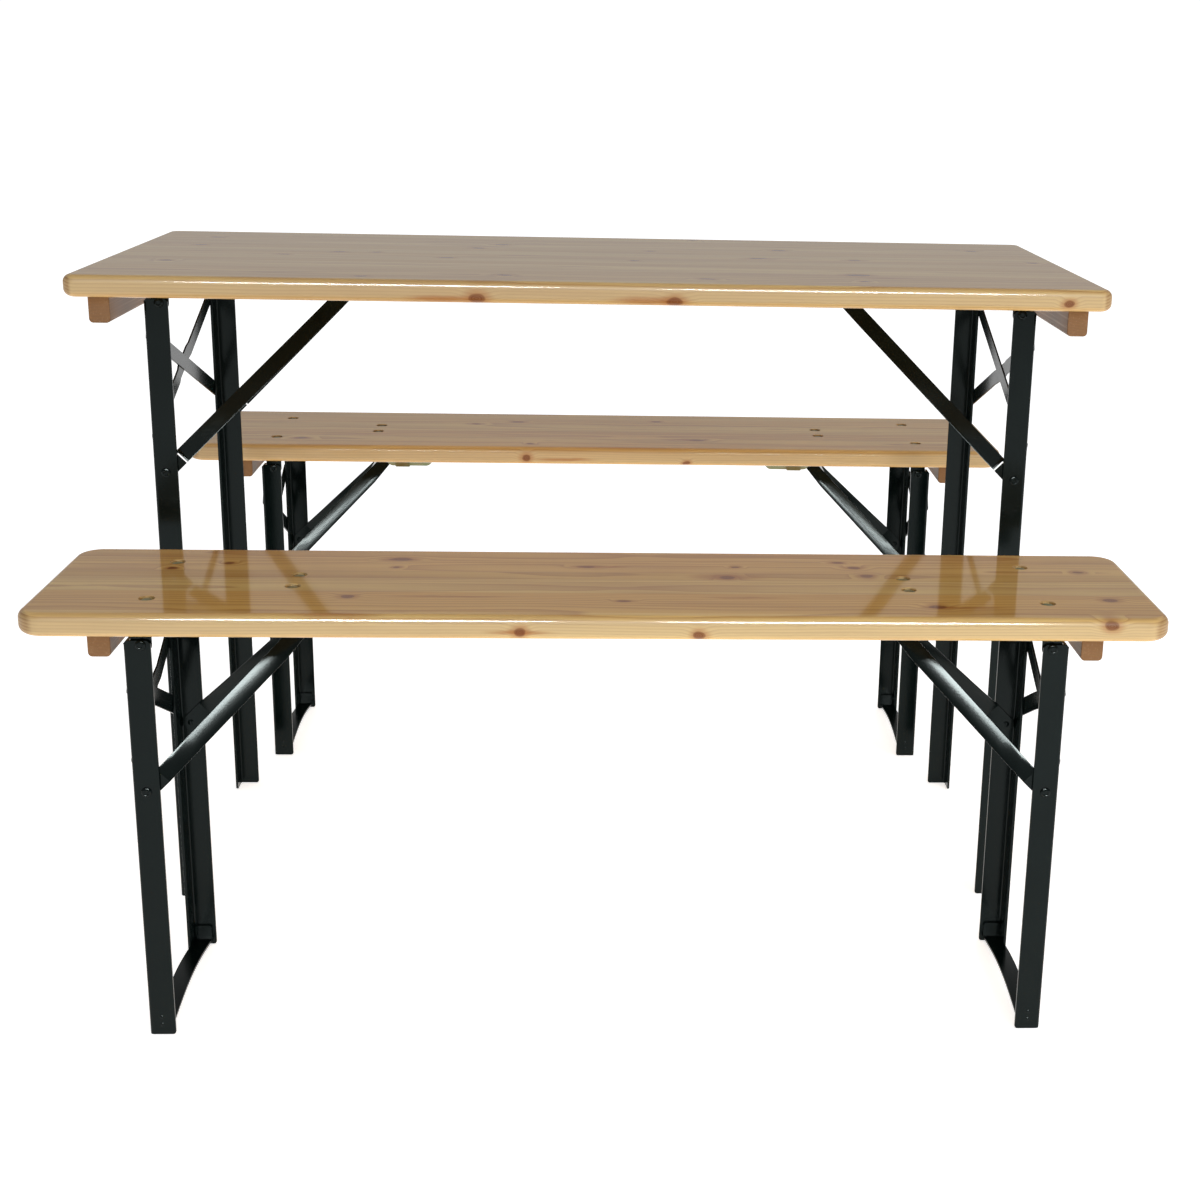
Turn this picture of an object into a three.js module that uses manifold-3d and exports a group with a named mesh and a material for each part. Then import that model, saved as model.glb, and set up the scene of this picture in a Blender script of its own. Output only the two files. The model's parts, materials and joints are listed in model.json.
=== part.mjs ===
// Folding picnic set: one table and two benches on folding angle-steel leg frames.
//
// Units are millimetres and +Z is up. The origin is on the floor, at the middle
// of the set's footprint. +X runs along the boards and -Y is the front bench.
//
// Every unit (table or bench) is the same machine at its own size. A wooden
// panel carries a batten, two hinge brackets and a latch keeper near each end.
// A leg frame of two angle-steel legs hangs from the brackets, stiffened by an
// X brace, and a V-shaped folding brace runs from the legs up to the keeper.

import * as THREE from 'three';
import { mergeVertices } from 'three/addons/utils/BufferGeometryUtils.js';
import Module from 'manifold-3d';

const wasm = await Module();
wasm.setup();

// ---------------------------------------------------------------- sizes ----

// Boards.
const panelLength = 1170;
const panelThickness = 25;
const panelEdgeRadius = 9;

// Rolled steel angle of the legs.
const legFlange = 27.5;
const legWall = 3;
const legTopChamfer = 3.5;

// Leg hinge, under the panel.
const hingeDrop = 14;
const hingeInset = 17.5;
const legAboveHinge = 5;
const bracketPlate = 2.5;
const bracketWidth = 21;
const bracketReach = 44;
const lugBelowHinge = 9.5;

// Rivets of both kinds of pivot.
const rivetRadius = 4;
const rivetHeadRadius = 5.5;
const rivetHeadHeight = 2.2;
const rivetClearance = 0.3;

// V-shaped folding brace.
const braceAngle = THREE.MathUtils.degToRad(45);
const braceWall = 2.5;
const braceFlange = 18;
const braceDepth = 18.6;
const braceTabLength = 24;
const braceNotch = 2.5;
const braceApexDrop = 18;
const braceApexHalfWidth = 22;
const braceApexPlate = 14;
const braceApexLip = 6;
const bracePinRadius = 4;
const bracePinHalfLength = 27;

// Latch keeper, a shallow channel above the apex of the brace.
const keeperPlate = 2.5;
const keeperInward = 71;
const keeperOutward = 34;
const keeperClearance = 3.5;
const keeperCheekOutward = 4;
const keeperCheekDepth = 24;
const keeperCheekSlope = 10;

// X brace of flat bars on the outer faces of the legs.
const barThickness = 2.5;
const barEndInset = 6;

// Foot strip between the feet of a bench.
const stripWidth = 20;
const stripThickness = 3;
const stripEndHeight = 5;
const stripRise = 10;
const stripTabHeight = 20;

// Play between pieces that touch without moving on each other.
const gap = 0.3;

const table = {
  name: 'table', boardName: 'table_top',
  x: -6, y: 9.5, width: 500, height: 780, cornerRadius: 16,
  frameInset: 71, sideInset: 70,
  battenInset: 23.5, battenWidth: 23.5, battenHeight: 30, battenSideInset: 20,
  braceDrop: 212, barDrop: 113, barWidth: 18.5, barRise: 70,
  footStrip: false,
};

const bench = {
  width: 248, height: 480, cornerRadius: 28,
  frameInset: 102, sideInset: 22,
  battenInset: 66, battenWidth: 23, battenHeight: 27, battenSideInset: 24,
  braceDrop: 174, barDrop: 105, barWidth: 20, barRise: 52,
  footStrip: true,
};

const frontBench = { ...bench, name: 'front_bench', boardName: 'front_bench_seat', x: 6, y: -393.5 };
const backBench = { ...bench, name: 'back_bench', boardName: 'back_bench_seat', x: -6, y: 393.5 };

// ------------------------------------------------------------ materials ----

const topWood = new THREE.MeshStandardMaterial({ color: 0xb59468, roughness: 0.32, metalness: 0 });
const seatWood = new THREE.MeshStandardMaterial({ color: 0xc9a676, roughness: 0.32, metalness: 0 });
const battenWood = new THREE.MeshStandardMaterial({ color: 0xa9713f, roughness: 0.5, metalness: 0 });
const coatedSteel = new THREE.MeshStandardMaterial({ color: 0x141a18, roughness: 0.35, metalness: 0.2 });
const zincSteel = new THREE.MeshStandardMaterial({ color: 0x8f8a52, roughness: 0.4, metalness: 0.9 });

// -------------------------------------------------------------- helpers ----

/** Turns a closed three.js geometry into a manifold solid. */
function solid(geometry) {
  geometry.deleteAttribute('normal');
  geometry.deleteAttribute('uv');
  const merged = mergeVertices(geometry, 1e-4);
  return new wasm.Manifold(new wasm.Mesh({
    numProp: 3,
    vertProperties: new Float32Array(merged.attributes.position.array),
    triVerts: new Uint32Array(merged.index.array),
  }));
}

/** Joins solids into one. */
function join(...solids) {
  return solids.reduce((whole, next) => whole.add(next));
}

/** Box between two opposite corners. */
function block([x0, y0, z0], [x1, y1, z1]) {
  const box = new THREE.BoxGeometry(Math.abs(x1 - x0), Math.abs(y1 - y0), Math.abs(z1 - z0));
  box.translate((x0 + x1) / 2, (y0 + y1) / 2, (z0 + z1) / 2);
  return solid(box);
}

/** Cylinder along Y between two ordinates, centred on (x, z). */
function rodY(radius, x, z, y0, y1) {
  const rod = new THREE.CylinderGeometry(radius, radius, Math.abs(y1 - y0), 20);
  rod.translate(x, (y0 + y1) / 2, z);
  return solid(rod);
}

/** Closed outline from points, or from a THREE.Shape. */
function outline(points) {
  return points instanceof THREE.Shape ? points : new THREE.Shape(points.map(([a, b]) => new THREE.Vector2(a, b)));
}

/** Prism whose outline lies in XY and that runs from z0 to z1. */
function prismZ(points, z0, z1) {
  const prism = new THREE.ExtrudeGeometry(outline(points), { depth: z1 - z0, bevelEnabled: false, curveSegments: 8 });
  prism.translate(0, 0, z0);
  return solid(prism);
}

/** Prism whose outline is given as (x, z) and that runs from y0 to y1. */
function prismY(points, y0, y1) {
  const prism = new THREE.ExtrudeGeometry(outline(points), { depth: y1 - y0, bevelEnabled: false, curveSegments: 8 });
  prism.rotateX(Math.PI / 2);
  prism.translate(0, y1, 0);
  return solid(prism);
}

/** Prism whose outline is given as (y, z) and that runs from x0 to x1. */
function prismX(points, x0, x1) {
  const prism = new THREE.ExtrudeGeometry(outline(points), { depth: x1 - x0, bevelEnabled: false, curveSegments: 8 });
  prism.rotateX(Math.PI / 2);
  prism.rotateZ(Math.PI / 2);
  prism.translate(x0, 0, 0);
  return solid(prism);
}

/** Adds a named mesh to a group. */
function add(group, name, shape, material) {
  const { vertProperties, triVerts } = shape.getMesh();
  const geometry = new THREE.BufferGeometry();
  geometry.setAttribute('position', new THREE.BufferAttribute(new Float32Array(vertProperties), 3));
  geometry.setIndex(new THREE.BufferAttribute(new Uint32Array(triVerts), 1));
  geometry.computeVertexNormals();
  const mesh = new THREE.Mesh(geometry, material);
  mesh.name = name;
  group.add(mesh);
}

// --------------------------------------------------- placing of one unit ----

/** Heights and reaches that the pieces of one unit share, for its +X end. */
function layout(unit) {
  const underside = unit.height - panelThickness;
  const outerX = panelLength / 2 - unit.frameInset;
  const outerY = unit.width / 2 - unit.sideInset;
  const rivetX = outerX - legFlange / 2;
  const rivetZ = underside - unit.braceDrop;
  const apexZ = underside - braceApexDrop;
  const braceLength = (apexZ - rivetZ) / Math.sin(braceAngle);
  return {
    underside,
    outerX,
    outerY,
    innerY: outerY - legWall - gap,
    hingeX: outerX - hingeInset,
    hingeZ: underside - hingeDrop,
    rivetX,
    rivetZ,
    braceLength,
    apexX: rivetX - braceLength * Math.cos(braceAngle),
    apexZ,
    barZ: underside - unit.barDrop,
  };
}

// --------------------------------------------------------------- pieces ----

/** Board with rounded corners and rounded edges. */
function panel(unit) {
  const halfX = panelLength / 2 - panelEdgeRadius;
  const halfY = unit.width / 2 - panelEdgeRadius;
  const r = unit.cornerRadius - panelEdgeRadius;
  const shape = new THREE.Shape();
  shape.moveTo(-halfX + r, -halfY);
  shape.lineTo(halfX - r, -halfY);
  shape.absarc(halfX - r, -halfY + r, r, -Math.PI / 2, 0);
  shape.lineTo(halfX, halfY - r);
  shape.absarc(halfX - r, halfY - r, r, 0, Math.PI / 2);
  shape.lineTo(-halfX + r, halfY);
  shape.absarc(-halfX + r, halfY - r, r, Math.PI / 2, Math.PI);
  shape.lineTo(-halfX, -halfY + r);
  shape.absarc(-halfX + r, -halfY + r, r, Math.PI, Math.PI * 1.5);
  const board = new THREE.ExtrudeGeometry(shape, {
    depth: panelThickness - 2 * panelEdgeRadius,
    bevelThickness: panelEdgeRadius,
    bevelSize: panelEdgeRadius,
    bevelSegments: 4,
    curveSegments: 5,
  });
  board.translate(0, 0, unit.height - panelThickness + panelEdgeRadius);
  return solid(board);
}

/** Wooden batten across the grain, with its lower corners eased. */
function batten(unit, at) {
  const x1 = panelLength / 2 - unit.battenInset;
  const x0 = x1 - unit.battenWidth;
  const z1 = at.underside - gap;
  const z0 = z1 - unit.battenHeight;
  const ease = unit.battenWidth / 5;
  const reach = unit.width / 2 - unit.battenSideInset;
  const section = [[x0, z1], [x0, z0 + ease], [x0 + ease, z0], [x1 - ease, z0], [x1, z0 + ease], [x1, z1]];
  return prismY(section, -reach, reach);
}

/** Rivet from a plate's inner face out through the leg's flange. side is -1 or 1 along Y. */
function rivet(x, z, at, side) {
  const inner = side * (at.innerY - bracketPlate / 2);
  const headFoot = side * (at.outerY + gap);
  const headTop = side * (at.outerY + gap + rivetHeadHeight);
  return join(
    rodY(rivetRadius, x, z, inner, headTop),
    rodY(rivetHeadRadius, x, z, headFoot, headTop),
  );
}

/** Hinge bracket: a foot under the panel, a lug turned down beside the leg, and its rivet. */
function hingeBracket(at, side) {
  const x0 = at.hingeX - bracketWidth / 2;
  const x1 = at.hingeX + bracketWidth / 2;
  const top = at.underside - gap;
  const outer = side * at.innerY;
  const foot = block([x0, outer, top - bracketPlate], [x1, side * (at.innerY - bracketReach), top]);
  const lug = new THREE.Shape();
  lug.moveTo(x0, top);
  lug.lineTo(x0, at.hingeZ);
  lug.absellipse(at.hingeX, at.hingeZ, bracketWidth / 2, lugBelowHinge, Math.PI, 2 * Math.PI);
  lug.lineTo(x1, top);
  const faces = [outer, side * (at.innerY - bracketPlate)].sort((a, b) => a - b);
  return join(foot, prismY(lug, ...faces), rivet(at.hingeX, at.hingeZ, at, side));
}

/** Angle-steel leg, corner outwards, with holes for the hinge and brace rivets. */
function leg(at, side) {
  const top = at.hingeZ + legAboveHinge;
  const x1 = at.outerX;
  const x0 = x1 - legFlange;
  const y1 = side * at.outerY;
  const face = [
    [x0, 0], [x1, 0], [x1, top - legTopChamfer], [x1 - legTopChamfer, top],
    [x0 + legTopChamfer, top], [x0, top - legTopChamfer],
  ];
  const faces = [y1, side * (at.outerY - legWall)].sort((a, b) => a - b);
  const wide = prismY(face, ...faces);
  const deep = block([x1 - legWall, y1, 0], [x1, side * (at.outerY - legFlange), top - legTopChamfer]);
  const hole = rivetRadius + rivetClearance;
  return join(wide, deep)
    .subtract(rodY(hole, at.hingeX, at.hingeZ, faces[0] - 1, faces[1] + 1))
    .subtract(rodY(hole, at.rivetX, at.rivetZ, faces[0] - 1, faces[1] + 1));
}

/** Two flat bars crossing between the legs, on their outer faces. */
function xBrace(unit, at) {
  const reach = at.outerY - barEndInset;
  const slope = Math.atan2(unit.barRise, at.outerY);
  const half = reach / Math.cos(slope);
  const bars = [slope, -slope].map((turn) => {
    const c = Math.cos(turn);
    const s = Math.sin(turn);
    const corners = [[-half, -1], [half, -1], [half, 1], [-half, 1]];
    const points = corners.map(([along, across]) => {
      const v = across * unit.barWidth / 2;
      return [along * c - v * s, at.barZ + along * s + v * c];
    });
    return prismX(points, at.outerX + gap, at.outerX + gap + barThickness);
  });
  return join(...bars);
}

/** Foot strip: a bowed flat bar whose ends turn up against the legs. */
function footStrip(at) {
  const reach = at.innerY;
  const steps = 10;
  const bow = (y) => stripEndHeight + stripRise * Math.sin(Math.PI * (1 - Math.abs(y) / reach) / 2);
  const low = [];
  const high = [];
  for (let i = 0; i <= steps; i += 1) {
    const y = -reach + (2 * reach * i) / steps;
    low.push([y, bow(y)]);
    const inside = THREE.MathUtils.clamp(y, -reach + stripThickness, reach - stripThickness);
    high.push([inside, bow(y) + stripThickness]);
  }
  const tabTop = stripEndHeight + stripTabHeight;
  const points = [
    ...low,
    [reach, tabTop],
    [reach - stripThickness, tabTop],
    ...high.reverse(),
    [-reach + stripThickness, tabTop],
    [-reach, tabTop],
  ];
  const x1 = at.outerX - legWall - gap;
  return prismX(points, x1 - stripWidth, x1);
}

/** Latch keeper: a channel under the panel that guides the apex of the brace. */
function keeper(at) {
  const x0 = at.apexX - keeperInward;
  const x1 = at.apexX + keeperOutward;
  const top = at.underside - gap;
  const inside = bracePinHalfLength + keeperClearance;
  const outside = inside + keeperPlate;
  const cheekEnd = at.apexX + keeperCheekOutward;
  const low = top - keeperCheekDepth;
  const cheekFace = [
    [x0, top], [x0, low + keeperCheekSlope], [x0 + keeperCheekSlope, low],
    [cheekEnd - keeperCheekSlope, low], [cheekEnd, low + keeperCheekSlope], [cheekEnd, top],
  ];
  const cheek = (side) => prismY(cheekFace, ...[side * inside, side * outside].sort((a, b) => a - b));
  return join(block([x0, -outside, top - keeperPlate], [x1, outside, top]), cheek(-1), cheek(1));
}

/**
 * V-shaped folding brace with its two rivets. It is drawn lying flat, with the
 * rivets' axis on x = 0 and the apex towards +X, and then turned up to its slope.
 */
function foldBrace(at) {
  const half = at.innerY;
  const end = at.braceLength + braceApexLip;
  const bend = braceTabLength + braceNotch;
  const lean = Math.atan2(half - braceApexHalfWidth, end - bend);
  const topZ = braceDepth / 2;
  const start = braceTabLength / 2;
  const inset = braceFlange / Math.cos(lean);
  const plateX = at.braceLength - braceApexPlate;
  const plateY = Math.max(half - inset - (plateX - bend) * Math.tan(lean), braceWall);
  const edge = [
    [start, half], [bend, half], [end, braceApexHalfWidth],
  ];
  const inner = [
    [plateX, plateY], [bend, half - inset], [start, half - braceFlange],
  ];
  const flip = ([x, y]) => [x, -y];
  const web = [...edge, ...edge.map(flip).reverse(), ...inner.map(flip).reverse(), ...inner];
  const wall = braceWall / Math.cos(lean);
  const rim = [[bend, half], [end, braceApexHalfWidth], [end, braceApexHalfWidth - wall], [bend, half - wall]];
  const parts = [
    prismZ(web, topZ - braceWall, topZ),
    rodY(bracePinRadius, at.braceLength, 0, -bracePinHalfLength, bracePinHalfLength),
  ];
  for (const side of [-1, 1]) {
    const tab = new THREE.Shape();
    tab.moveTo(braceTabLength, -topZ);
    tab.lineTo(braceTabLength, topZ);
    tab.lineTo(0, topZ);
    tab.absarc(0, 0, topZ, Math.PI / 2, Math.PI * 1.5);
    const faces = [side * half, side * (half - braceWall)].sort((a, b) => a - b);
    parts.push(prismY(tab, ...faces));
    parts.push(prismZ(side > 0 ? rim : rim.map(flip), -topZ, topZ));
    parts.push(rivet(0, 0, at, side));
  }
  const turn = new THREE.Matrix4().makeBasis(
    new THREE.Vector3(-Math.cos(braceAngle), 0, Math.sin(braceAngle)),
    new THREE.Vector3(0, -1, 0),
    new THREE.Vector3(Math.sin(braceAngle), 0, Math.cos(braceAngle)),
  );
  turn.setPosition(at.rivetX, 0, at.rivetZ);
  return join(...parts).transform(turn.elements);
}

// ------------------------------------------------------------- assembly ----

/** One end of a unit, drawn at +X. The other end is the same group turned half a turn. */
function endFrame(unit, at, end, near, far) {
  const group = new THREE.Group();
  const name = (piece) => `${unit.name}_${end}_${piece}`;
  add(group, name('batten'), batten(unit, at), battenWood);
  add(group, name('latch_keeper'), keeper(at), zincSteel);
  for (const [side, place] of [[-1, near], [1, far]]) {
    add(group, name(`${place}_hinge_bracket`), hingeBracket(at, side), coatedSteel);
    add(group, name(`${place}_leg`), leg(at, side), coatedSteel);
  }
  add(group, name('x_brace'), xBrace(unit, at), coatedSteel);
  add(group, name('fold_brace'), foldBrace(at), coatedSteel);
  if (unit.footStrip) add(group, name('foot_strip'), footStrip(at), coatedSteel);
  return group;
}

/** A whole table or bench. */
function buildUnit(unit, boardMaterial) {
  const group = new THREE.Group();
  const at = layout(unit);
  add(group, unit.boardName, panel(unit), boardMaterial);
  group.add(endFrame(unit, at, 'right', 'front', 'back'));
  const left = endFrame(unit, at, 'left', 'back', 'front');
  left.rotation.z = Math.PI;
  group.add(left);
  group.position.set(unit.x, unit.y, 0);
  return group;
}

const set = new THREE.Group();
set.add(buildUnit(table, topWood));
set.add(buildUnit(frontBench, seatWood));
set.add(buildUnit(backBench, seatWood));

export default set;
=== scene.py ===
"""Folding table with two folding benches: boards, leg frames and braces in their real finishes."""

import json
import logging
import math
from dataclasses import dataclass
from enum import Enum
from typing import Any, Callable, ClassVar, Mapping, Sequence, Union

import bmesh
import bpy
from mathutils import Matrix, Vector


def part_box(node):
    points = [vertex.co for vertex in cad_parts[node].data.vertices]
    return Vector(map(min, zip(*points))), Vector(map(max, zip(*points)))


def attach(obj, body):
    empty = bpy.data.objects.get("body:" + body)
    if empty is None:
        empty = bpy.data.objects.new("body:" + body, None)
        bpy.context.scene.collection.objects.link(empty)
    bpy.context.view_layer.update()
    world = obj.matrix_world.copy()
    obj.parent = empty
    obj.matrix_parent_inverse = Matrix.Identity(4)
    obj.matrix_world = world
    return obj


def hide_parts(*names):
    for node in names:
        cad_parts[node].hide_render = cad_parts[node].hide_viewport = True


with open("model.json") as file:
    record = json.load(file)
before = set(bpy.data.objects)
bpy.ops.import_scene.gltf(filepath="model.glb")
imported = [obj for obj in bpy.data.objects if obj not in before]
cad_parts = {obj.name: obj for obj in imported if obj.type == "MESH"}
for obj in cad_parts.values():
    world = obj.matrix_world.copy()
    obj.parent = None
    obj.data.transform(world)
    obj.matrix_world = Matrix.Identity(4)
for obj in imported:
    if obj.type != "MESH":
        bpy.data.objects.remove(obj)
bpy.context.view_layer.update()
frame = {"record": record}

log = logging.getLogger("picnic_set")
MM = 0.001
Colour = tuple[float, float, float]
Point = Sequence[float]
Choice = Callable[[Vector, Vector], bool]


# ------------------------------------------------------------- shader maths


def operator(operation: str, swapped: bool = False) -> Callable[["Value", "Number"], "Value"]:
    """Make an arithmetic method out of a Math node.

    Args:
        operation: The node's operation.
        swapped: Whether the plain number comes first.

    Returns:
        The method.
    """

    def method(self: "Value", other: "Number") -> "Value":
        """Combine the two numbers."""
        return self.bench.math(operation, *((other, self) if swapped else (self, other)))

    return method


class Value:
    """A number that changes over a surface, used in ordinary Python sums."""

    def __init__(self, bench: "NodeBench", socket: bpy.types.NodeSocket) -> None:
        """Wrap one output socket.

        Args:
            bench: The node bench that holds the socket's tree.
            socket: The output that carries the number.
        """
        self.bench = bench
        self.socket = socket

    __add__ = __radd__ = operator("ADD")
    __sub__, __rsub__ = operator("SUBTRACT"), operator("SUBTRACT", True)
    __mul__ = __rmul__ = operator("MULTIPLY")
    __truediv__, __rtruediv__ = operator("DIVIDE"), operator("DIVIDE", True)
    __pow__, __rpow__ = operator("POWER"), operator("POWER", True)

    def __abs__(self) -> "Value":
        """Size without sign."""
        return self.bench.math("ABSOLUTE", self)

    def least(self, other: "Number") -> "Value":
        """The smaller of the two."""
        return self.bench.math("MINIMUM", self, other)

    def cycle(self) -> "Value":
        """The part after the decimal point."""
        return self.bench.math("FRACT", self)

    def root(self) -> "Value":
        """Square root."""
        return self.bench.math("SQRT", self)

    def ease(self, low: float, high: float, start: float = 0.0, end: float = 1.0) -> "Value":
        """Pass smoothly from one level to another.

        Args:
            low: Where this value starts to count.
            high: Where it has counted in full.
            start: Result at low.
            end: Result at high.

        Returns:
            The eased value.
        """
        node = self.bench.node(
            "ShaderNodeMapRange",
            {"interpolation_type": "SMOOTHSTEP"},
            {"Value": self, "From Min": low, "From Max": high, "To Min": start, "To Max": end},
        )
        return Value(self.bench, node.outputs["Result"])


Number = Union[Value, float, int]


class NodeBench:
    """Builds the node tree of one material."""

    def __init__(self, name: str) -> None:
        """Start a material with a Principled shader.

        Args:
            name: The material's name.
        """
        self.material = bpy.data.materials.new(name)
        self.material.use_nodes = True
        self.tree = self.material.node_tree
        self.tree.nodes.clear()
        self.shader = self.node("ShaderNodeBsdfPrincipled", {}, {})
        self.node("ShaderNodeOutputMaterial", {}, {"Surface": self.shader.outputs["BSDF"]})

    @classmethod
    def on(cls, tree: bpy.types.NodeTree) -> "NodeBench":
        """A bench on a node tree that is there already."""
        bench = cls.__new__(cls)
        bench.tree = tree
        return bench

    def node(
        self, kind: str, settings: Mapping[str, Any], inputs: Mapping[Union[str, int], Any]
    ) -> bpy.types.Node:
        """Add a node.

        Args:
            kind: Blender's type name of the node.
            settings: Properties, set first; "stops" and "blending" fill a colour ramp.
            inputs: Values, or links, for its sockets by name or number.

        Returns:
            The new node.
        """
        made = self.tree.nodes.new(kind)
        for key, setting in settings.items():
            if key == "stops":
                self._stops(made.color_ramp, setting)
            elif key == "blending":
                made.color_ramp.interpolation = setting
            else:
                setattr(made, key, setting)
        for key, value in inputs.items():
            if isinstance(value, Value):
                self.tree.links.new(value.socket, made.inputs[key])
            elif isinstance(value, bpy.types.NodeSocket):
                self.tree.links.new(value, made.inputs[key])
            else:
                made.inputs[key].default_value = value
        return made

    @staticmethod
    def _stops(ramp: bpy.types.ColorRamp, stops: Sequence[tuple[float, Colour]]) -> None:
        """Fill a colour ramp.

        Args:
            ramp: The ramp.
            stops: Place and colour of each stop, in order.
        """
        while len(ramp.elements) > 1:
            ramp.elements.remove(ramp.elements[-1])
        for index, (place, colour) in enumerate(stops):
            element = ramp.elements[0] if index == 0 else ramp.elements.new(place)
            element.position = place
            element.color = (*colour, 1.0)

    def math(self, operation: str, *values: Number) -> Value:
        """Add a Math node.

        Args:
            operation: Its operation.
            values: What fills its sockets.

        Returns:
            Its result.
        """
        made = self.node("ShaderNodeMath", {"operation": operation}, dict(enumerate(values)))
        return Value(self, made.outputs[0])

    def place(self) -> bpy.types.NodeSocket:
        """Position in the piece's own space."""
        return self.node("ShaderNodeTexCoord", {}, {}).outputs["Object"]

    def facing(self) -> bpy.types.NodeSocket:
        """Direction of the surface in the piece's own space."""
        return self.node("ShaderNodeTexCoord", {}, {}).outputs["Normal"]

    def vector(self, operation: str, *values: Any) -> bpy.types.NodeSocket:
        """Add a Vector Math node.

        Args:
            operation: Its operation.
            values: What fills its vector sockets.

        Returns:
            Its vector.
        """
        made = self.node("ShaderNodeVectorMath", {"operation": operation}, dict(enumerate(values)))
        return made.outputs["Vector"]

    def length(self, vector: bpy.types.NodeSocket) -> Value:
        """Length of a vector."""
        made = self.node("ShaderNodeVectorMath", {"operation": "LENGTH"}, {0: vector})
        return Value(self, made.outputs["Value"])

    def split(self, vector: bpy.types.NodeSocket) -> tuple[Value, Value, Value]:
        """The three parts of a vector or colour."""
        made = self.node("ShaderNodeSeparateXYZ", {}, {0: vector})
        return tuple(Value(self, output) for output in made.outputs)

    def join(self, x: Number, y: Number, z: Number) -> bpy.types.NodeSocket:
        """A vector from its three parts."""
        return self.node("ShaderNodeCombineXYZ", {}, {"X": x, "Y": y, "Z": z}).outputs[0]

    def noise(
        self, place: bpy.types.NodeSocket, stretch: Point, detail: float = 2.0, rough: float = 0.5
    ) -> bpy.types.Node:
        """Add a noise pattern.

        Args:
            place: Where it is read.
            stretch: How many bumps it has to a metre along each axis.
            detail: Its octaves.
            rough: How much its finer octaves count.

        Returns:
            The noise node.
        """
        scaled = self.vector("MULTIPLY", place, tuple(stretch))
        return self.node(
            "ShaderNodeTexNoise", {}, {"Vector": scaled, "Scale": 1.0, "Detail": detail, "Roughness": rough}
        )

    def speckle(self, place: bpy.types.NodeSocket, stretch: Point, detail: float = 2.0) -> Value:
        """A noise pattern as one number about a half."""
        return Value(self, self.noise(place, stretch, detail).outputs[0])

    def ramp(
        self, value: Value, stops: Sequence[tuple[float, Colour]], blending: str = "LINEAR",
    ) -> bpy.types.NodeSocket:
        """Turn a value into a colour.

        Args:
            value: The number from 0 to 1.
            stops: Place and colour of each stop.
            blending: How the ramp passes between stops.

        Returns:
            The colour.
        """
        made = self.node("ShaderNodeValToRGB", {"stops": stops, "blending": blending}, {"Fac": value})
        return made.outputs["Color"]

    def mix(self, share: Number, first: Any, second: Any, blend: str = "MIX") -> bpy.types.NodeSocket:
        """Mix two colours.

        Args:
            share: How much of the second.
            first: First colour or link.
            second: Second colour or link.
            blend: The way they blend.

        Returns:
            The mixed colour.
        """
        first, second = (
            (*colour, 1.0) if isinstance(colour, tuple) else colour for colour in (first, second)
        )
        made = self.node(
            "ShaderNodeMix", {"data_type": "RGBA", "blend_type": blend}, {0: share, 6: first, 7: second}
        )
        return made.outputs[2]

    def relief(self, height: Value, depth: float, strength: float = 1.0) -> bpy.types.NodeSocket:
        """Turn a height into a bumped normal.

        Args:
            height: The relief, from 0 to 1.
            depth: Metres between its low and high places.
            strength: How much it counts.

        Returns:
            The normal.
        """
        made = self.node("ShaderNodeBump", {}, {"Strength": strength, "Distance": depth, "Height": height})
        return made.outputs["Normal"]

    def dress(self, **sockets: Any) -> bpy.types.Material:
        """Fill the Principled shader's sockets, with spaces written as underscores.

        Args:
            sockets: A value or link for each socket.

        Returns:
            The finished material.
        """
        for name, value in sockets.items():
            socket = self.shader.inputs[name.replace("_", " ")]
            if isinstance(value, Value):
                self.tree.links.new(value.socket, socket)
            elif isinstance(value, bpy.types.NodeSocket):
                self.tree.links.new(value, socket)
            elif isinstance(value, tuple):
                socket.default_value = (*value, 1.0)
            else:
                socket.default_value = value
        return self.material


# ----------------------------------------------------------------- finishes


@dataclass(frozen=True)
class Stave:
    """One of the strips that a board is glued up from."""

    edge: float
    tone: Colour
    heart: Colour


@dataclass(frozen=True)
class Knot:
    """A knot, placed from the middle of its board's top face."""

    x: float
    y: float
    radius: float = 5 * MM
    stretch: float = 1.4
    drop: float = 0.0
    reach: float = 40 * MM

    @property
    def centre(self) -> Colour:
        """Its middle."""
        return (self.x, self.y, -self.drop)

    @property
    def inverse_radii(self) -> Colour:
        """One over its half-size along each axis; a knot with a drop lies in the long edge."""
        across, down = (self.reach, self.radius) if self.drop else (self.radius, self.reach)
        return (1 / (self.radius * self.stretch), 1 / across, 1 / down)


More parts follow.
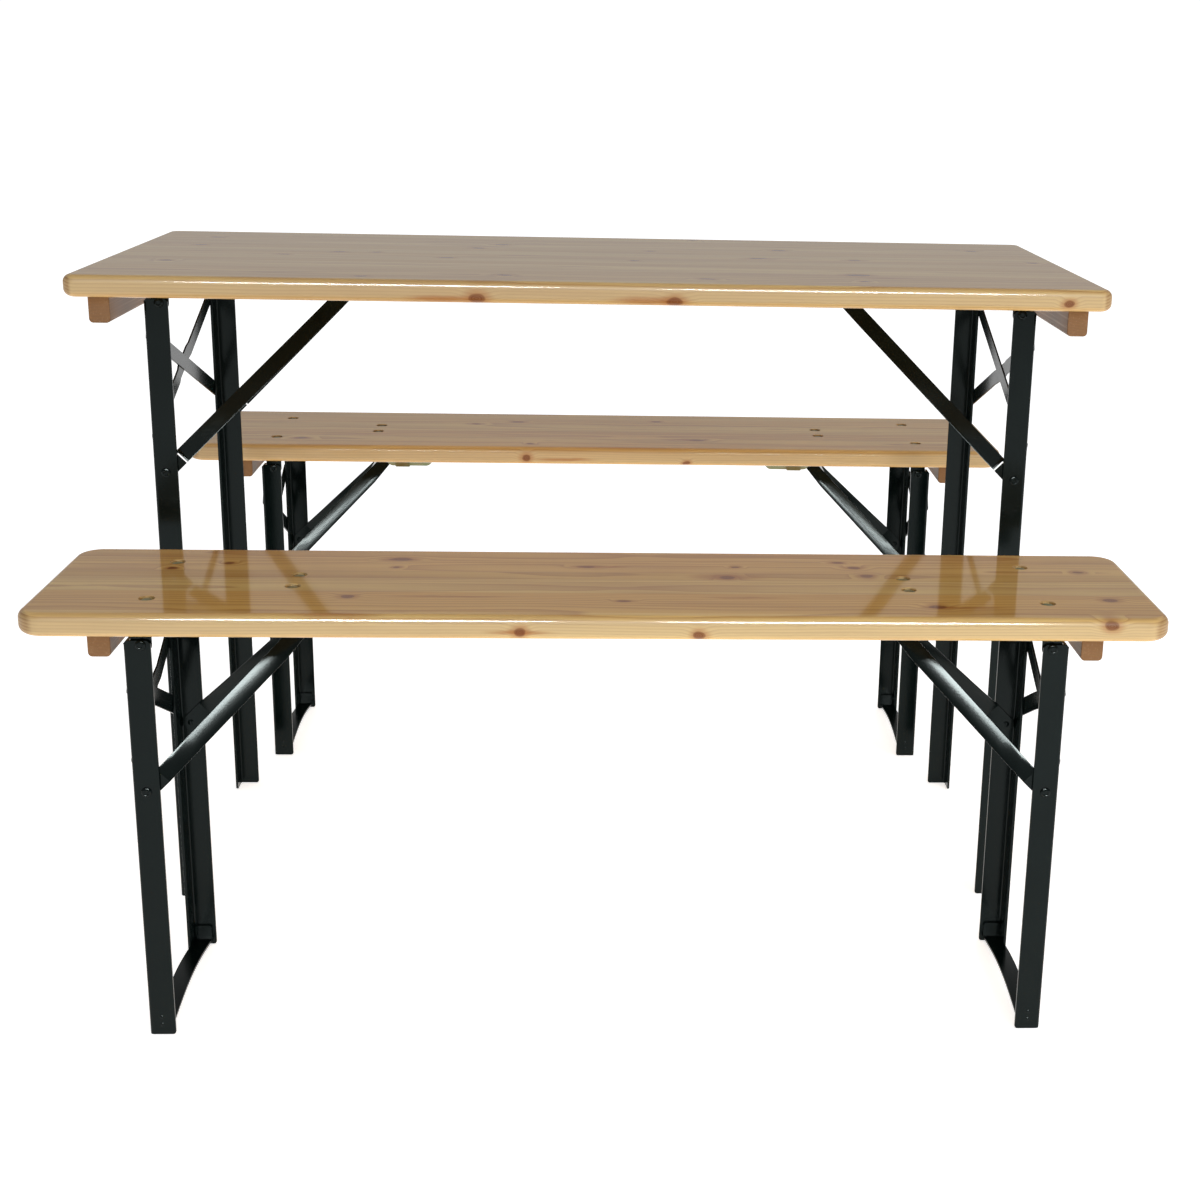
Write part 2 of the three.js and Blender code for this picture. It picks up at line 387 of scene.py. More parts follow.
@dataclass(frozen=True)
class Pine:
    """Glued-up pine under glossy varnish."""

    name: str
    middle: Point
    width: float
    staves: tuple[Stave, ...]
    knots: tuple[Knot, ...] = ()
    streaks: tuple[Knot, ...] = ()
    turned: bool = False
    pale: Colour = (0.69, 0.505, 0.215)
    late: Colour = (0.38, 0.175, 0.050)
    # outer is a painted sheen: the pale, creamy colour that side faces get for the light their edges mirror.
    outer: Colour = (0.51, 0.41, 0.27)
    knot_core: Colour = (0.150, 0.030, 0.003)
    knot_halo: Colour = (0.36, 0.115, 0.018)
    ring: float = 3.3 * MM
    ring_share: float = 0.74
    painted_sheen_share: float = 0.5
    varnish: float = 0.9
    varnish_roughness: float = 0.07

    def material(self) -> bpy.types.Material:
        """Build the material.

        Returns:
            Growth rings cut as solid wood, stave by stave, with knots and end grain.
        """
        bench = NodeBench(self.name)
        place = bench.vector("SUBTRACT", bench.place(), tuple(self.middle))
        facing = bench.facing()
        if self.turned:
            x, y, z = bench.split(place)
            place = bench.join(y, x, z)
            nx, ny, nz = bench.split(facing)
            facing = bench.join(ny, nx, nz)
        x, y, z = bench.split(place)
        share = y / self.width + 0.5
        tone, heart, joint = self._by_stave(bench, share)
        heart_y, heart_z, lean = bench.split(heart)

        wobble = bench.noise(place, (34, 60, 60), 2).outputs["Color"]
        centred = bench.vector("SUBTRACT", wobble, (0.5, 0.5, 0.5))
        wobble = bench.vector("MULTIPLY", centred, (0.010, 0.004, 0.004))
        near = bench.vector("ADD", place, wobble)
        knot = self._nearest(bench, near, self.knots)
        streak = self._nearest(bench, near, self.streaks)
        swirl = knot.ease(0.4, 3.6, 1.0, 0.0)

        wander = bench.speckle(place, (1.6, 7, 7), 2) - 0.5
        ripple = bench.speckle(place, (9, 30, 30), 2) - 0.5
        out_y = y - (heart_y - 0.5) * self.width
        out_z = z + 0.02 + heart_z * 0.10
        radius = (out_y * out_y + out_z * out_z).root()
        radius = radius + wander * 0.016 + ripple * 0.0016 + (lean - 0.5) * x * 0.030 + swirl * 0.0042
        turn = (radius / self.ring).cycle()
        late = turn ** 2.2 * turn.ease(0.90, 1.0, 1.0, 0.0)
        fibre = bench.speckle(place, (7, 520, 520), 3)
        cloud = bench.speckle(place, (2.2, 26, 26), 3)

        colour = bench.mix(late * self.ring_share, self.pale, self.late)
        colour = bench.mix(1.0, colour, tone, "MULTIPLY")
        colour = bench.mix(cloud.ease(0.40, 0.72, 0.0, 0.42), colour, self.late)
        colour = bench.mix(fibre.ease(0.52, 0.75, 0.0, 0.22), colour, self.late)
        colour = bench.mix(fibre.ease(0.30, 0.46, 0.16, 0.0), colour, (0.70, 0.53, 0.33))
        colour = bench.mix(joint, colour, (0.20, 0.10, 0.04))
        # Painted sheen: faces that look sideways are mixed towards the pale outer colour; the same mask thins
        # the varnish there.
        rim = abs(bench.split(facing)[2]).ease(0.25, 0.85, self.painted_sheen_share, 0.0)
        colour = bench.mix(rim, colour, self.outer)
        end = abs(bench.split(facing)[0]).ease(0.22, 0.5)
        colour = bench.mix(end * (0.45 + late * 0.45), colour, (0.26, 0.125, 0.042))
        colour = bench.mix(streak.ease(0.3, 1.5, 0.62, 0.0), colour, self.knot_halo)
        colour = bench.mix(knot.ease(0.85, 2.3, 0.50, 0.0), colour, self.knot_halo)
        whorl = (knot * 3.1).cycle() * 0.5 + 0.5
        core = knot.ease(0.72, 1.15, 1.0, 0.0)
        colour = bench.mix(core * 0.85 * whorl.ease(0.4, 1.0, 0.72, 1.0), colour, self.knot_core)

        height = late * 0.35 + fibre * 0.45 - core * 0.4 - joint * 0.8
        return bench.dress(
            Base_Color=colour,
            Roughness=fibre * 0.22 + 0.36 - late * 0.06,
            Normal=bench.relief(height, 0.22 * MM, 0.55),
            IOR=1.2,
            Coat_Weight=(1.0 - rim * 1.5) * self.varnish,
            Coat_Roughness=self.varnish_roughness,
            Coat_IOR=1.5,
            Coat_Tint=(1.0, 0.94, 0.83),
        )

    def _by_stave(
        self, bench: NodeBench, share: Value
    ) -> tuple[bpy.types.NodeSocket, bpy.types.NodeSocket, Value]:
        """Look up what differs from stave to stave.

        Args:
            bench: The node bench.
            share: Place across the board, from 0 to 1.

        Returns:
            The tone, the place of the log's heart, and the glue line's mask.
        """
        tones, hearts, lines = [], [], [(0.0, (0.0, 0.0, 0.0))]
        for index, stave in enumerate(self.staves):
            at = min(max(stave.edge / self.width + 0.5, 0.0), 1.0)
            tones.append((at, stave.tone))
            hearts.append((at, stave.heart))
            if index:
                half = 0.45 * MM / self.width
                lines += [(at - half, (0.0,) * 3), (at, (0.30,) * 3), (at + half, (0.0,) * 3)]
        joint = bench.split(bench.ramp(share, lines))[0]
        return bench.ramp(share, tones, "CONSTANT"), bench.ramp(share, hearts, "CONSTANT"), joint

    @staticmethod
    def _nearest(bench: NodeBench, place: bpy.types.NodeSocket, marks: Sequence[Knot]) -> Value:
        """How far away the nearest mark is, in its own radii.

        Args:
            bench: The node bench.
            place: Where it is read.
            marks: The knots.

        Returns:
            The least distance, 9 where the board has none.
        """
        nearest = Value(bench, bench.node("ShaderNodeValue", {}, {}).outputs[0])
        nearest.socket.default_value = 9.0
        for mark in marks:
            away = bench.vector("SUBTRACT", place, mark.centre)
            nearest = nearest.least(bench.length(bench.vector("MULTIPLY", away, mark.inverse_radii)))
        return nearest


@dataclass(frozen=True)
class PowderCoat:
    """Baked dark coating on steel, with a faint orange peel."""

    name: str = "powder_coated_steel"
    colour: Colour = (0.0009, 0.0028, 0.0026)
    dusty: Colour = (0.0018, 0.0044, 0.0041)
    roughness: float = 0.17

    def material(self) -> bpy.types.Material:
        """Build the material.

        Returns:
            A nearly black green-grey with soft gloss.
        """
        bench = NodeBench(self.name)
        place = bench.place()
        cloud = bench.speckle(place, (14, 14, 14), 4)
        peel = bench.speckle(place, (620, 620, 620), 2)
        grit = bench.speckle(place, (2400, 2400, 2400), 1)
        return bench.dress(
            Base_Color=bench.mix(cloud.ease(0.38, 0.75), self.colour, self.dusty),
            Roughness=self.roughness + (cloud - 0.5) * 0.12 + (grit - 0.5) * 0.06,
            Normal=bench.relief(peel * 0.75 + grit * 0.25, 0.05 * MM, 0.5),
            IOR=1.25,
            Specular_Tint=(0.88, 1.0, 0.99),
        )


@dataclass(frozen=True)
class YellowZinc:
    """Zinc plating with a yellow-green passivated tint."""

    name: str = "yellow_zinc_plate"
    stops: tuple[tuple[float, Colour], ...] = (
        (0.25, (0.22, 0.180, 0.090)),
        (0.45, (0.25, 0.240, 0.135)),
        (0.62, (0.20, 0.225, 0.120)),
        (0.80, (0.19, 0.150, 0.100)),
    )

    def material(self) -> bpy.types.Material:
        """Build the material.

        Returns:
            A satin metal whose tint drifts from gold to green.
        """
        bench = NodeBench(self.name)
        place = bench.place()
        drift = bench.speckle(place, (60, 60, 60), 3)
        rolled = bench.speckle(place, (90, 1500, 900), 2)
        return bench.dress(
            Base_Color=bench.ramp(drift, self.stops),
            Metallic=0.92,
            Roughness=rolled * 0.22 + 0.24,
            Normal=bench.relief(rolled, 0.02 * MM, 0.5),
        )


@dataclass(frozen=True)
class PaleFloor:
    """Matt white studio floor."""

    name: str = "pale_floor"
    colour: Colour = (0.93, 0.93, 0.93)
    glow: float = 0.72

    def material(self) -> bpy.types.Material:
        """Build the material.

        Returns:
            A plain pale surface with a trace of unevenness.
        """
        bench = NodeBench(self.name)
        drift = bench.speckle(bench.place(), (1.5, 1.5, 1.5), 2)
        lighter = tuple(part + 0.02 for part in self.colour)
        return bench.dress(
            Base_Color=bench.mix(drift, self.colour, lighter),
            Roughness=0.8,
            Emission_Color=(1.0, 1.0, 1.0),
            Emission_Strength=self.glow,
        )


# ------------------------------------------------------------------ shaping


class End(Enum):
    """Which end of a unit a leg frame stands at."""

    LEFT = "left"
    RIGHT = "right"


class Slot(Enum):
    """The record's material slots."""

    TOP_WOOD = "top_wood"
    SEAT_WOOD = "seat_wood"
    BATTEN_WOOD = "batten_wood"
    COATED_STEEL = "coated_steel"
    ZINC = "zinc"


Finishes = Mapping[Slot, bpy.types.Material]


class Workpiece:
    """A mesh while it is being shaped."""

    SHARP = math.radians(38)

    def __init__(self) -> None:
        """Start with an empty mesh."""
        self.mesh = bmesh.new()

    def block(self, low: Point, high: Point) -> list[bmesh.types.BMVert]:
        """Add a box.

        Args:
            low: Lowest corner.
            high: Highest corner.

        Returns:
            Its corners.
        """
        made = bmesh.ops.create_cube(self.mesh, size=1.0)["verts"]
        bmesh.ops.scale(self.mesh, vec=Vector(high) - Vector(low), verts=made)
        bmesh.ops.translate(self.mesh, vec=(Vector(low) + Vector(high)) / 2, verts=made)
        return made

    def prism(self, outline: Sequence[Point], along: Point) -> list[bmesh.types.BMVert]:
        """Add a straight extrusion.

        Args:
            outline: Corners of its first face, in order.
            along: How far, and which way, that face is drawn out.

        Returns:
            Its corners.
        """
        first = [self.mesh.verts.new(point) for point in outline]
        face = self.mesh.faces.new(first)
        grown = bmesh.ops.extrude_face_region(self.mesh, geom=[face])["geom"]
        last = [item for item in grown if isinstance(item, bmesh.types.BMVert)]
        bmesh.ops.translate(self.mesh, vec=Vector(along), verts=last)
        made = first + last
        self.outwards(made)
        return made

    def revolve(
        self, profile: Sequence[tuple[float, float]], place: Matrix, steps: int = 28,
    ) -> list[bmesh.types.BMVert]:
        """Add a turned shape about its own Z.

        Args:
            profile: Radius and height of each point, from the bottom middle to the top middle.
            place: Where the shape goes.
            steps: Facets round it.

        Returns:
            Its corners.
        """
        points = [self.mesh.verts.new((radius, 0.0, height)) for radius, height in profile]
        edges = [self.mesh.edges.new(pair) for pair in zip(points, points[1:])]
        before = set(self.mesh.verts) - set(points)
        bmesh.ops.spin(
            self.mesh, geom=points + edges, cent=(0, 0, 0), axis=(0, 0, 1),
            angle=math.tau, steps=steps, use_merge=True,
        )
        bmesh.ops.remove_doubles(self.mesh, verts=self.besides(before), dist=0.01 * MM)
        made = self.besides(before)
        self.outwards(made)
        bmesh.ops.transform(self.mesh, matrix=place, verts=made)
        return made

    def outwards(self, verts: Sequence[bmesh.types.BMVert]) -> None:
        """Point the faces of these corners outwards.

        Args:
            verts: Corners of closed shapes.
        """
        faces = list({face for vert in verts for face in vert.link_faces})
        bmesh.ops.recalc_face_normals(self.mesh, faces=faces)

    def soften(
        self,
        verts: Sequence[bmesh.types.BMVert],
        width: float,
        segments: int = 2,
        choose: Choice = lambda middle, along: True,
    ) -> list[bmesh.types.BMVert]:
        """Round the sharp edges of a shape.

        Args:
            verts: Corners of the shape.
            width: Radius of the rounding.
            segments: Facets of the rounding.
            choose: Says, from an edge's middle and direction, whether it is rounded.

        Returns:
            The shape's corners afterwards.
        """
        own = set(verts)
        others = set(self.mesh.verts) - own
        edges = []
        for edge in {edge for vert in own for edge in vert.link_edges}:
            start, finish = (vert.co for vert in edge.verts)
            if edge.is_manifold and edge.calc_face_angle(0.0) > self.SHARP:
                if choose((start + finish) / 2, (finish - start).normalized()):
                    edges.append(edge)
        bmesh.ops.bevel(
            self.mesh, geom=edges, offset=width, offset_type="OFFSET", segments=segments,
            profile=0.5, affect="EDGES", clamp_overlap=True, material=-1,
        )
        return self.besides(others)

    def besides(self, others: set[bmesh.types.BMVert]) -> list[bmesh.types.BMVert]:
        """All corners but these."""
        return [vert for vert in self.mesh.verts if vert not in others]

    def slice(self, others: set[bmesh.types.BMVert], normal: Point, cuts: Sequence[float]) -> None:
        """Cut edges into a shape across an axis.

        Args:
            others: Corners that are not the shape's.
            normal: Unit vector along the axis.
            cuts: Where it is cut.
        """
        for cut in cuts:
            own = self.besides(others)
            geometry = own + list({edge for vert in own for edge in vert.link_edges})
            geometry += list({face for vert in own for face in vert.link_faces})
            bmesh.ops.bisect_plane(self.mesh, geom=geometry, plane_co=Vector(normal) * cut, plane_no=normal)

    def piece(
        self, name: str, node: str, finish: bpy.types.Material,
        place: Matrix, replaces: bool = True,
    ) -> bpy.types.Object:
        """Finish the mesh as a named piece.

        Args:
            name: The piece's name.
            node: The CAD node whose body it rides on.
            finish: Its material.
            place: Where its unit stands.
            replaces: Whether it stands for that node.

        Returns:
            The new object.
        """
        bmesh.ops.transform(self.mesh, matrix=place, verts=self.mesh.verts)
        data = bpy.data.meshes.new(name)
        for face in self.mesh.faces:
            face.smooth = True
        self.mesh.to_mesh(data)
        self.mesh.free()
        data.set_sharp_from_angle(angle=self.SHARP)
        data.materials.append(finish)
        made = bpy.data.objects.new(name, data)
        bpy.context.scene.collection.objects.link(made)
        shading = made.modifiers.new("even_shading", "WEIGHTED_NORMAL")
        shading.keep_sharp = True
        body = body_of(node)
        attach(made, body)
        if replaces:
            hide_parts(node)
        log.info("%s: %d faces, rides on %s", name, len(data.polygons), body)
        return made


def at(axis: str, **place: float) -> Choice:
    """Choose edges by their direction and place.

    Args:
        axis: The axis that they run along.
        place: Coordinates that their middles have.

    Returns:
        A choice for Workpiece.soften.
    """

    def choose(middle: Vector, along: Vector) -> bool:
        """Whether an edge is one of them."""
        close = all(abs(getattr(middle, key) - value) < 0.1 * MM for key, value in place.items())
        return close and abs(getattr(along, axis)) > 0.9

    return choose


def along_y(x: float, y: float, z: float, side: int) -> Matrix:
    """Place a turned shape so that its top faces front or back.

    Args:
        x: Its place along the unit.
        y: Its foot's place across the unit.
        z: Its height.
        side: 1 to face +Y, -1 to face -Y.

    Returns:
        The placing.
    """
    return Matrix.Translation((x, y, z)) @ Matrix.Rotation(-side * math.pi / 2, 4, "X")


def body_of(node: str) -> str:
    """The body that holds a CAD node."""
    groups = frame["record"]["behaviour"]["bodies"]
    return next(body for body, nodes in groups.items() if node in nodes)


# --------------------------------------------------------------- the pieces


@dataclass(frozen=True)
class Plan:
    """Where one leg frame stands, drawn for the +X end about the unit's middle."""

    unit: str
    end: End
    brace_drop: float
    bar_drop: float
    bar_width: float
    bar_rise: float
    gap: float = 0.3 * MM
    leg_wall: float = 3 * MM
    hinge_inset: float = 17.5 * MM
    leg_above_hinge: float = 5 * MM
    apex_drop: float = 18 * MM

    @property
    def prefix(self) -> str:
        """Start of the names at this end."""
        return f"{self.unit}_{self.end.value}"

    @property
    def board(self) -> tuple[Vector, Vector]:
        """Corners of the unit's board."""
        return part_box("table_top" if self.unit == "table" else f"{self.unit}_seat")

    @property
    def middle(self) -> Vector:
        """The unit's middle on the floor."""
        low, high = self.board
        return Vector(((low.x + high.x) / 2, (low.y + high.y) / 2, 0.0))

    @property
    def place(self) -> Matrix:
        """Turns and moves a shape from the plan to where it stands."""
        angle = 0.0 if self.end is End.RIGHT else math.pi
        return Matrix.Translation(self.middle) @ Matrix.Rotation(angle, 4, "Z")

    @property
    def leg_box(self) -> tuple[Vector, Vector]:
        """Corners of the front leg, as it stands."""
        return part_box(f"{self.prefix}_front_leg")

    @property
    def outer_x(self) -> float:
        """Outer face of the legs at the end."""
        low, high = self.leg_box
        return max(high.x - self.middle.x, self.middle.x - low.x)

    @property
    def outer_y(self) -> float:
        """Outer face of the legs at the front or back."""
        return self.middle.y - self.leg_box[0].y

    @property
    def inner_y(self) -> float:
        """Outer face of what lies inside the legs."""
        return self.outer_y - self.leg_wall - self.gap

    @property
    def flange(self) -> float:
        """Width of a leg's flange."""
        low, high = self.leg_box
        return high.x - low.x

    @property
    def leg_top(self) -> float:
        """Height of the legs."""
        return self.leg_box[1].z

    @property
    def underside(self) -> float:
        """Height of the board's underside."""
        return self.board[0].z

    @property
    def top(self) -> float:
        """Height of the board's top."""
        return self.board[1].z

    @property
    def hinge(self) -> tuple[float, float]:
        """Place along the unit, and height, of the hinge rivets."""
        return self.outer_x - self.hinge_inset, self.leg_top - self.leg_above_hinge

    @property
    def brace_foot(self) -> tuple[float, float]:
        """Place along the unit, and height, of the brace's rivets."""
        return self.outer_x - self.flange / 2, self.underside - self.brace_drop

    @property
    def brace_length(self) -> float:
        """From the brace's rivets to its pin."""
        return (self.brace_drop - self.apex_drop) * math.sqrt(2)

    @property
    def apex_x(self) -> float:
        """Place of the brace's pin along the unit."""
        return self.brace_foot[0] - (self.brace_drop - self.apex_drop)

    def side_name(self, side: int) -> str:
        """Front or back, for a side of the plan."""
        front = (side < 0) == (self.end is End.RIGHT)
        return "front" if front else "back"


class Fixing(Enum):
    """Turned small parts: radius and height in millimetres, from the middle of the foot up."""

    RIVET = (
        (0, -1), (3.3, -1), (3.3, 0), (5.5, 0), (5.5, 0.69), (5.115, 1.426), (4.29, 1.978), (3.3, 2.231),
        (2.86, 2.3), (2.475, 2.07), (2.2, 1.702), (1.65, 1.61), (0, 1.61),
    )
    BOLT_HEAD = (
        (0, -3), (3.6, -3), (3.6, 0), (7.2, 0), (7.2, 0.7), (6.768, 1.25), (5.4, 1.9), (3.24, 2.4), (0, 2.6),
    )
    WASHER = ((0, 0), (8.5, 0), (8.5, 1.04), (8.16, 1.3), (0, 1.3))
    BOLT_END = ((0, 1.3), (3.4, 1.3), (3.4, 7.9), (2.72, 8.5), (0, 8.5))
    SCREW_HEAD = (
        (0, 0), (5.2, 0), (5.2, 0.5), (4.68, 1.5), (3.224, 2.3), (1.768, 2.6), (1.56, 1.5), (0, 1.3),
    )

    def add(self, work: Workpiece, place: Matrix, steps: int = 28) -> None:
        """Add the part to a mesh.

        Args:
            work: The mesh.
            place: Its foot, with Z outwards.
            steps: Facets round it.
        """
        work.revolve([(radius * MM, height * MM) for radius, height in self.value], place, steps)


def dimple(work: Workpiece, place: Matrix, radius: float) -> None:
    """Add the small raised spot of a weld or a flush rivet.

    Args:
        work: The mesh.
        place: Its foot, with Z outwards.
        radius: Its radius.
    """
    h = 0.55 * MM
    profile = [(0, -h), (radius, -h), (radius, 0), (radius * 0.8, h * 0.7), (radius * 0.4, h), (0, h)]
    work.revolve(profile, place, 16)


def fasten(work: Workpiece, plan: Plan, x: float, y: float, seat: float, through: bool) -> None:
    """Add a coach bolt with its nut, or a wood screw from below.

    Args:
        work: The mesh.
        plan: The leg frame's plan.
        x: Its place along the unit.
        y: Its place across the unit.
        seat: Height of the face that it bears on.
        through: Whether it is a bolt through the board.
    """
    under = Matrix.Translation((x, y, seat)) @ Matrix.Rotation(math.pi, 4, "X")
    if not through:
        Fixing.SCREW_HEAD.add(work, under)
        return
    radius, height, washer = 6.4 * MM, 5 * MM, 1.3 * MM
    Fixing.WASHER.add(work, under)
    nut = bmesh.ops.create_cone(
        work.mesh, cap_ends=True, segments=6, radius1=radius, radius2=radius, depth=height,
        matrix=under @ Matrix.Translation((0, 0, washer + height / 2)),
    )["verts"]
    work.soften(nut, 0.5 * MM, 2)
    Fixing.BOLT_END.add(work, under, 18)
    Fixing.BOLT_HEAD.add(work, Matrix.Translation((x, y, plan.top - 3.6 * MM)))


@dataclass
class Board:
    """The glued-up top of a table or bench."""

    node: str
    finish: Pine
    slot: Slot
    corner: float
    edge: float = 9 * MM
    bolt_spots: tuple[tuple[float, float], ...] = ()
    hole_radius: float = 8.0 * MM
    hole_depth: float = 4.2 * MM

    def build(self) -> bpy.types.Object:
        """Build and dress the board.

        Returns:
            The board, standing for its CAD node.
        """
        low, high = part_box(self.node)
        work = Workpiece()
        made = work.block(low, high)
        made = work.soften(made, self.corner, 12, at("z"))
        made = work.soften(made, self.edge, 8, lambda middle, along: abs(along.z) < 0.1)
        board = work.piece(f"{self.node}_board", self.node, self.finish.material(), Matrix())
        if self.bolt_spots:
            self._drill(board, (low + high) / 2, high.z)
        return board

    def _drill(self, board: bpy.types.Object, middle: Vector, top: float) -> None:
        """Sink the bolts' seats into the board.

        Args:
            board: The finished board.
            middle: The board's middle.
            top: Height of its top face.
        """
        work = Workpiece()
        r, d = self.hole_radius, self.hole_depth
        for x, y in self.bolt_spots:
            spot = Matrix.Translation((middle.x + x, middle.y + y, top))
            rim = r + 0.6 * MM
            profile = [(0, -d), (r, -d), (r, -0.5 * MM), (rim, 0.1 * MM), (rim, 1 * MM), (0, 1 * MM)]
            work.revolve(profile, spot, 32)
        data = bpy.data.meshes.new("seat_drill")
        work.mesh.to_mesh(data)
        work.mesh.free()
        drill = bpy.data.objects.new("seat_drill", data)
        bpy.context.scene.collection.objects.link(drill)
        cut = board.modifiers.new("bolt_seats", "BOOLEAN")
        cut.operation = "DIFFERENCE"
        cut.solver = "EXACT"
        cut.object = drill
        board.modifiers.move(len(board.modifiers) - 1, 0)
        bpy.context.view_layer.update()
        shaped = board.evaluated_get(bpy.context.evaluated_depsgraph_get())
        fresh = bpy.data.meshes.new_from_object(shaped)
        board.modifiers.clear()
        old = board.data
        board.data = fresh
        bpy.data.meshes.remove(old)
        bpy.data.objects.remove(drill)


@dataclass
class Part:
    """A visible piece that stands for one CAD node of a leg frame's end."""

    plan: Plan
    kind: ClassVar[str]
    label: ClassVar[str]
    slot: ClassVar[Slot] = Slot.COATED_STEEL

    @property
    def node(self) -> str:
        """The CAD node's name."""
        return f"{self.plan.prefix}_{self.kind}"

    def shape(self, work: Workpiece) -> Matrix:
        """Shape the piece.

        Args:
            work: The empty mesh.

        Returns:
            Where the finished mesh is placed.
        """
        raise NotImplementedError

    def build(self, finishes: Finishes) -> bpy.types.Object:
        """Shape, place and dress the piece.

        Args:
            finishes: The shared materials.

        Returns:
            The piece, standing for its CAD node.
        """
        work = Workpiece()
        place = self.shape(work)
        return work.piece(f"{self.node}_{self.label}", self.node, finishes[self.slot], place)


@dataclass
class SidePart(Part):
    """A part that the frame has both at its front and at its back."""

    side: int

    @property
    def node(self) -> str:
        """The CAD node's name."""
        return f"{self.plan.prefix}_{self.plan.side_name(self.side)}_{self.kind}"


@dataclass
class Batten(Part):
    """Wooden bar across the board's underside."""

    kind = "batten"
    label = "bar"
    slot = Slot.BATTEN_WOOD
    ease: float = 4.6 * MM

    def shape(self, work: Workpiece) -> Matrix:
        """Round the lower edges more than the rest."""
        low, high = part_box(self.node)
        lower = low.z + 1 * MM
        made = work.block(low, high)
        made = work.soften(made, self.ease, 5, lambda middle, along: abs(along.y) > 0.9 and middle.z < lower)
        work.soften(made, 1.2 * MM, 2)
        return Matrix()


@dataclass
class Leg(SidePart):
    """Angle-steel leg with its corner outwards."""

    kind = "leg"
    label = "angle"
    dimpled: bool
    top_chamfer: float = 3.5 * MM
    bend: float = 3.6 * MM
    foot_round: float = 3.0 * MM

    def shape(self, work: Workpiece) -> Matrix:
        """Draw out the angle and add the flange's chamfered top."""
        plan, side = self.plan, self.side
        x1, wall, flange = plan.outer_x, plan.leg_wall, plan.flange
        x0 = x1 - flange
        face, back = side * plan.outer_y, side * (plan.outer_y - flange)
        inner = side * (plan.outer_y - wall)
        shoulder = plan.leg_top - self.top_chamfer
        corners = [(x0, face), (x1, face), (x1, back), (x1 - wall, back), (x1 - wall, inner), (x0, inner)]
        made = work.prism([(x, y, 0.0) for x, y in corners], (0, 0, shoulder))
        made = work.soften(made, self.bend, 5, at("z", x=x1, y=face))
        made = work.soften(made, 1.8 * MM, 4, at("z", x=x1 - wall, y=inner))
        toes = at("y", x=x0, z=0.0), at("x", y=back, z=0.0)
        made = work.soften(made, self.foot_round, 4, lambda *edge: any(toe(*edge) for toe in toes))
        work.soften(made, 0.45 * MM, 2, lambda middle, along: middle.z < shoulder - 0.1 * MM)
        crown = [(x0, shoulder), (x1, shoulder), (x1 - self.top_chamfer, plan.leg_top),
                 (x0 + self.top_chamfer, plan.leg_top)]
        made = work.prism([(x, face, z) for x, z in crown], (0, inner - face, 0))
        work.soften(made, 0.45 * MM, 2, lambda middle, along: middle.z > shoulder + 0.1 * MM)
        if self.dimpled:
            for height in (11.5 * MM, 20.5 * MM):
                dimple(work, along_y(x1 - wall - 10.5 * MM, face, height, side), 2.0 * MM)
        return plan.place


@dataclass
class HingeBracket(SidePart):
    """Pressed bracket that hangs a leg under the board, with its rivet."""

    kind = "hinge_bracket"
    label = "plate"
    bolt_y: float
    through: bool
    plate: float = 2.5 * MM
    width: float = 21 * MM
    reach: float = 44 * MM
    lug_drop: float = 9.5 * MM

    def shape(self, work: Workpiece) -> Matrix:
        """Bend the foot and the lug, and set the rivet."""
        plan, side = self.plan, self.side
        x, z = plan.hinge
        top, low = plan.underside - plan.gap, z - self.lug_drop
        outer, inner = side * plan.inner_y, side * (plan.inner_y - self.plate)
        tip = side * (plan.inner_y - self.reach)
        seat = top - self.plate
        section = [(outer, top), (outer, low), (inner, low), (inner, seat), (tip, seat), (tip, top)]
        made = work.prism([(x - self.width / 2, y, h) for y, h in section], (self.width, 0, 0))
        made = work.soften(made, 3.4 * MM, 4, at("x", y=outer, z=top))
        made = work.soften(made, 1.0 * MM, 3, at("x", y=inner, z=seat))
        made = work.soften(made, 9.0 * MM, 8, at("y", z=low))
        made = work.soften(made, 6.0 * MM, 6, at("z", y=tip))
        work.soften(made, 0.35 * MM, 2)
        Fixing.RIVET.add(work, along_y(x, side * (plan.outer_y + 0.05 * MM), z, side))
        shank, length = 4 * MM, abs(side * (plan.outer_y - 1.5 * MM) - inner)
        work.revolve([(0, 0), (shank, 0), (shank, length), (0, length)], along_y(x, inner, z, side), 20)
        return plan.place

    def build(self, finishes: Finishes) -> bpy.types.Object:
        """Build the bracket, and its bolt or screws in zinc.

        Args:
            finishes: The shared materials.

        Returns:
            The bracket, standing for its CAD node.
        """
        bracket = super().build(finishes)
        plan = self.plan
        seat = plan.underside - plan.gap - self.plate
        work = Workpiece()
        for shift in (0.0,) if self.through else (-9 * MM, 11 * MM):
            fasten(work, plan, plan.hinge[0], self.side * (self.bolt_y + shift), seat, self.through)
        work.piece(f"{self.node}_fixing", self.node, finishes[Slot.ZINC], plan.place, False)
        return bracket


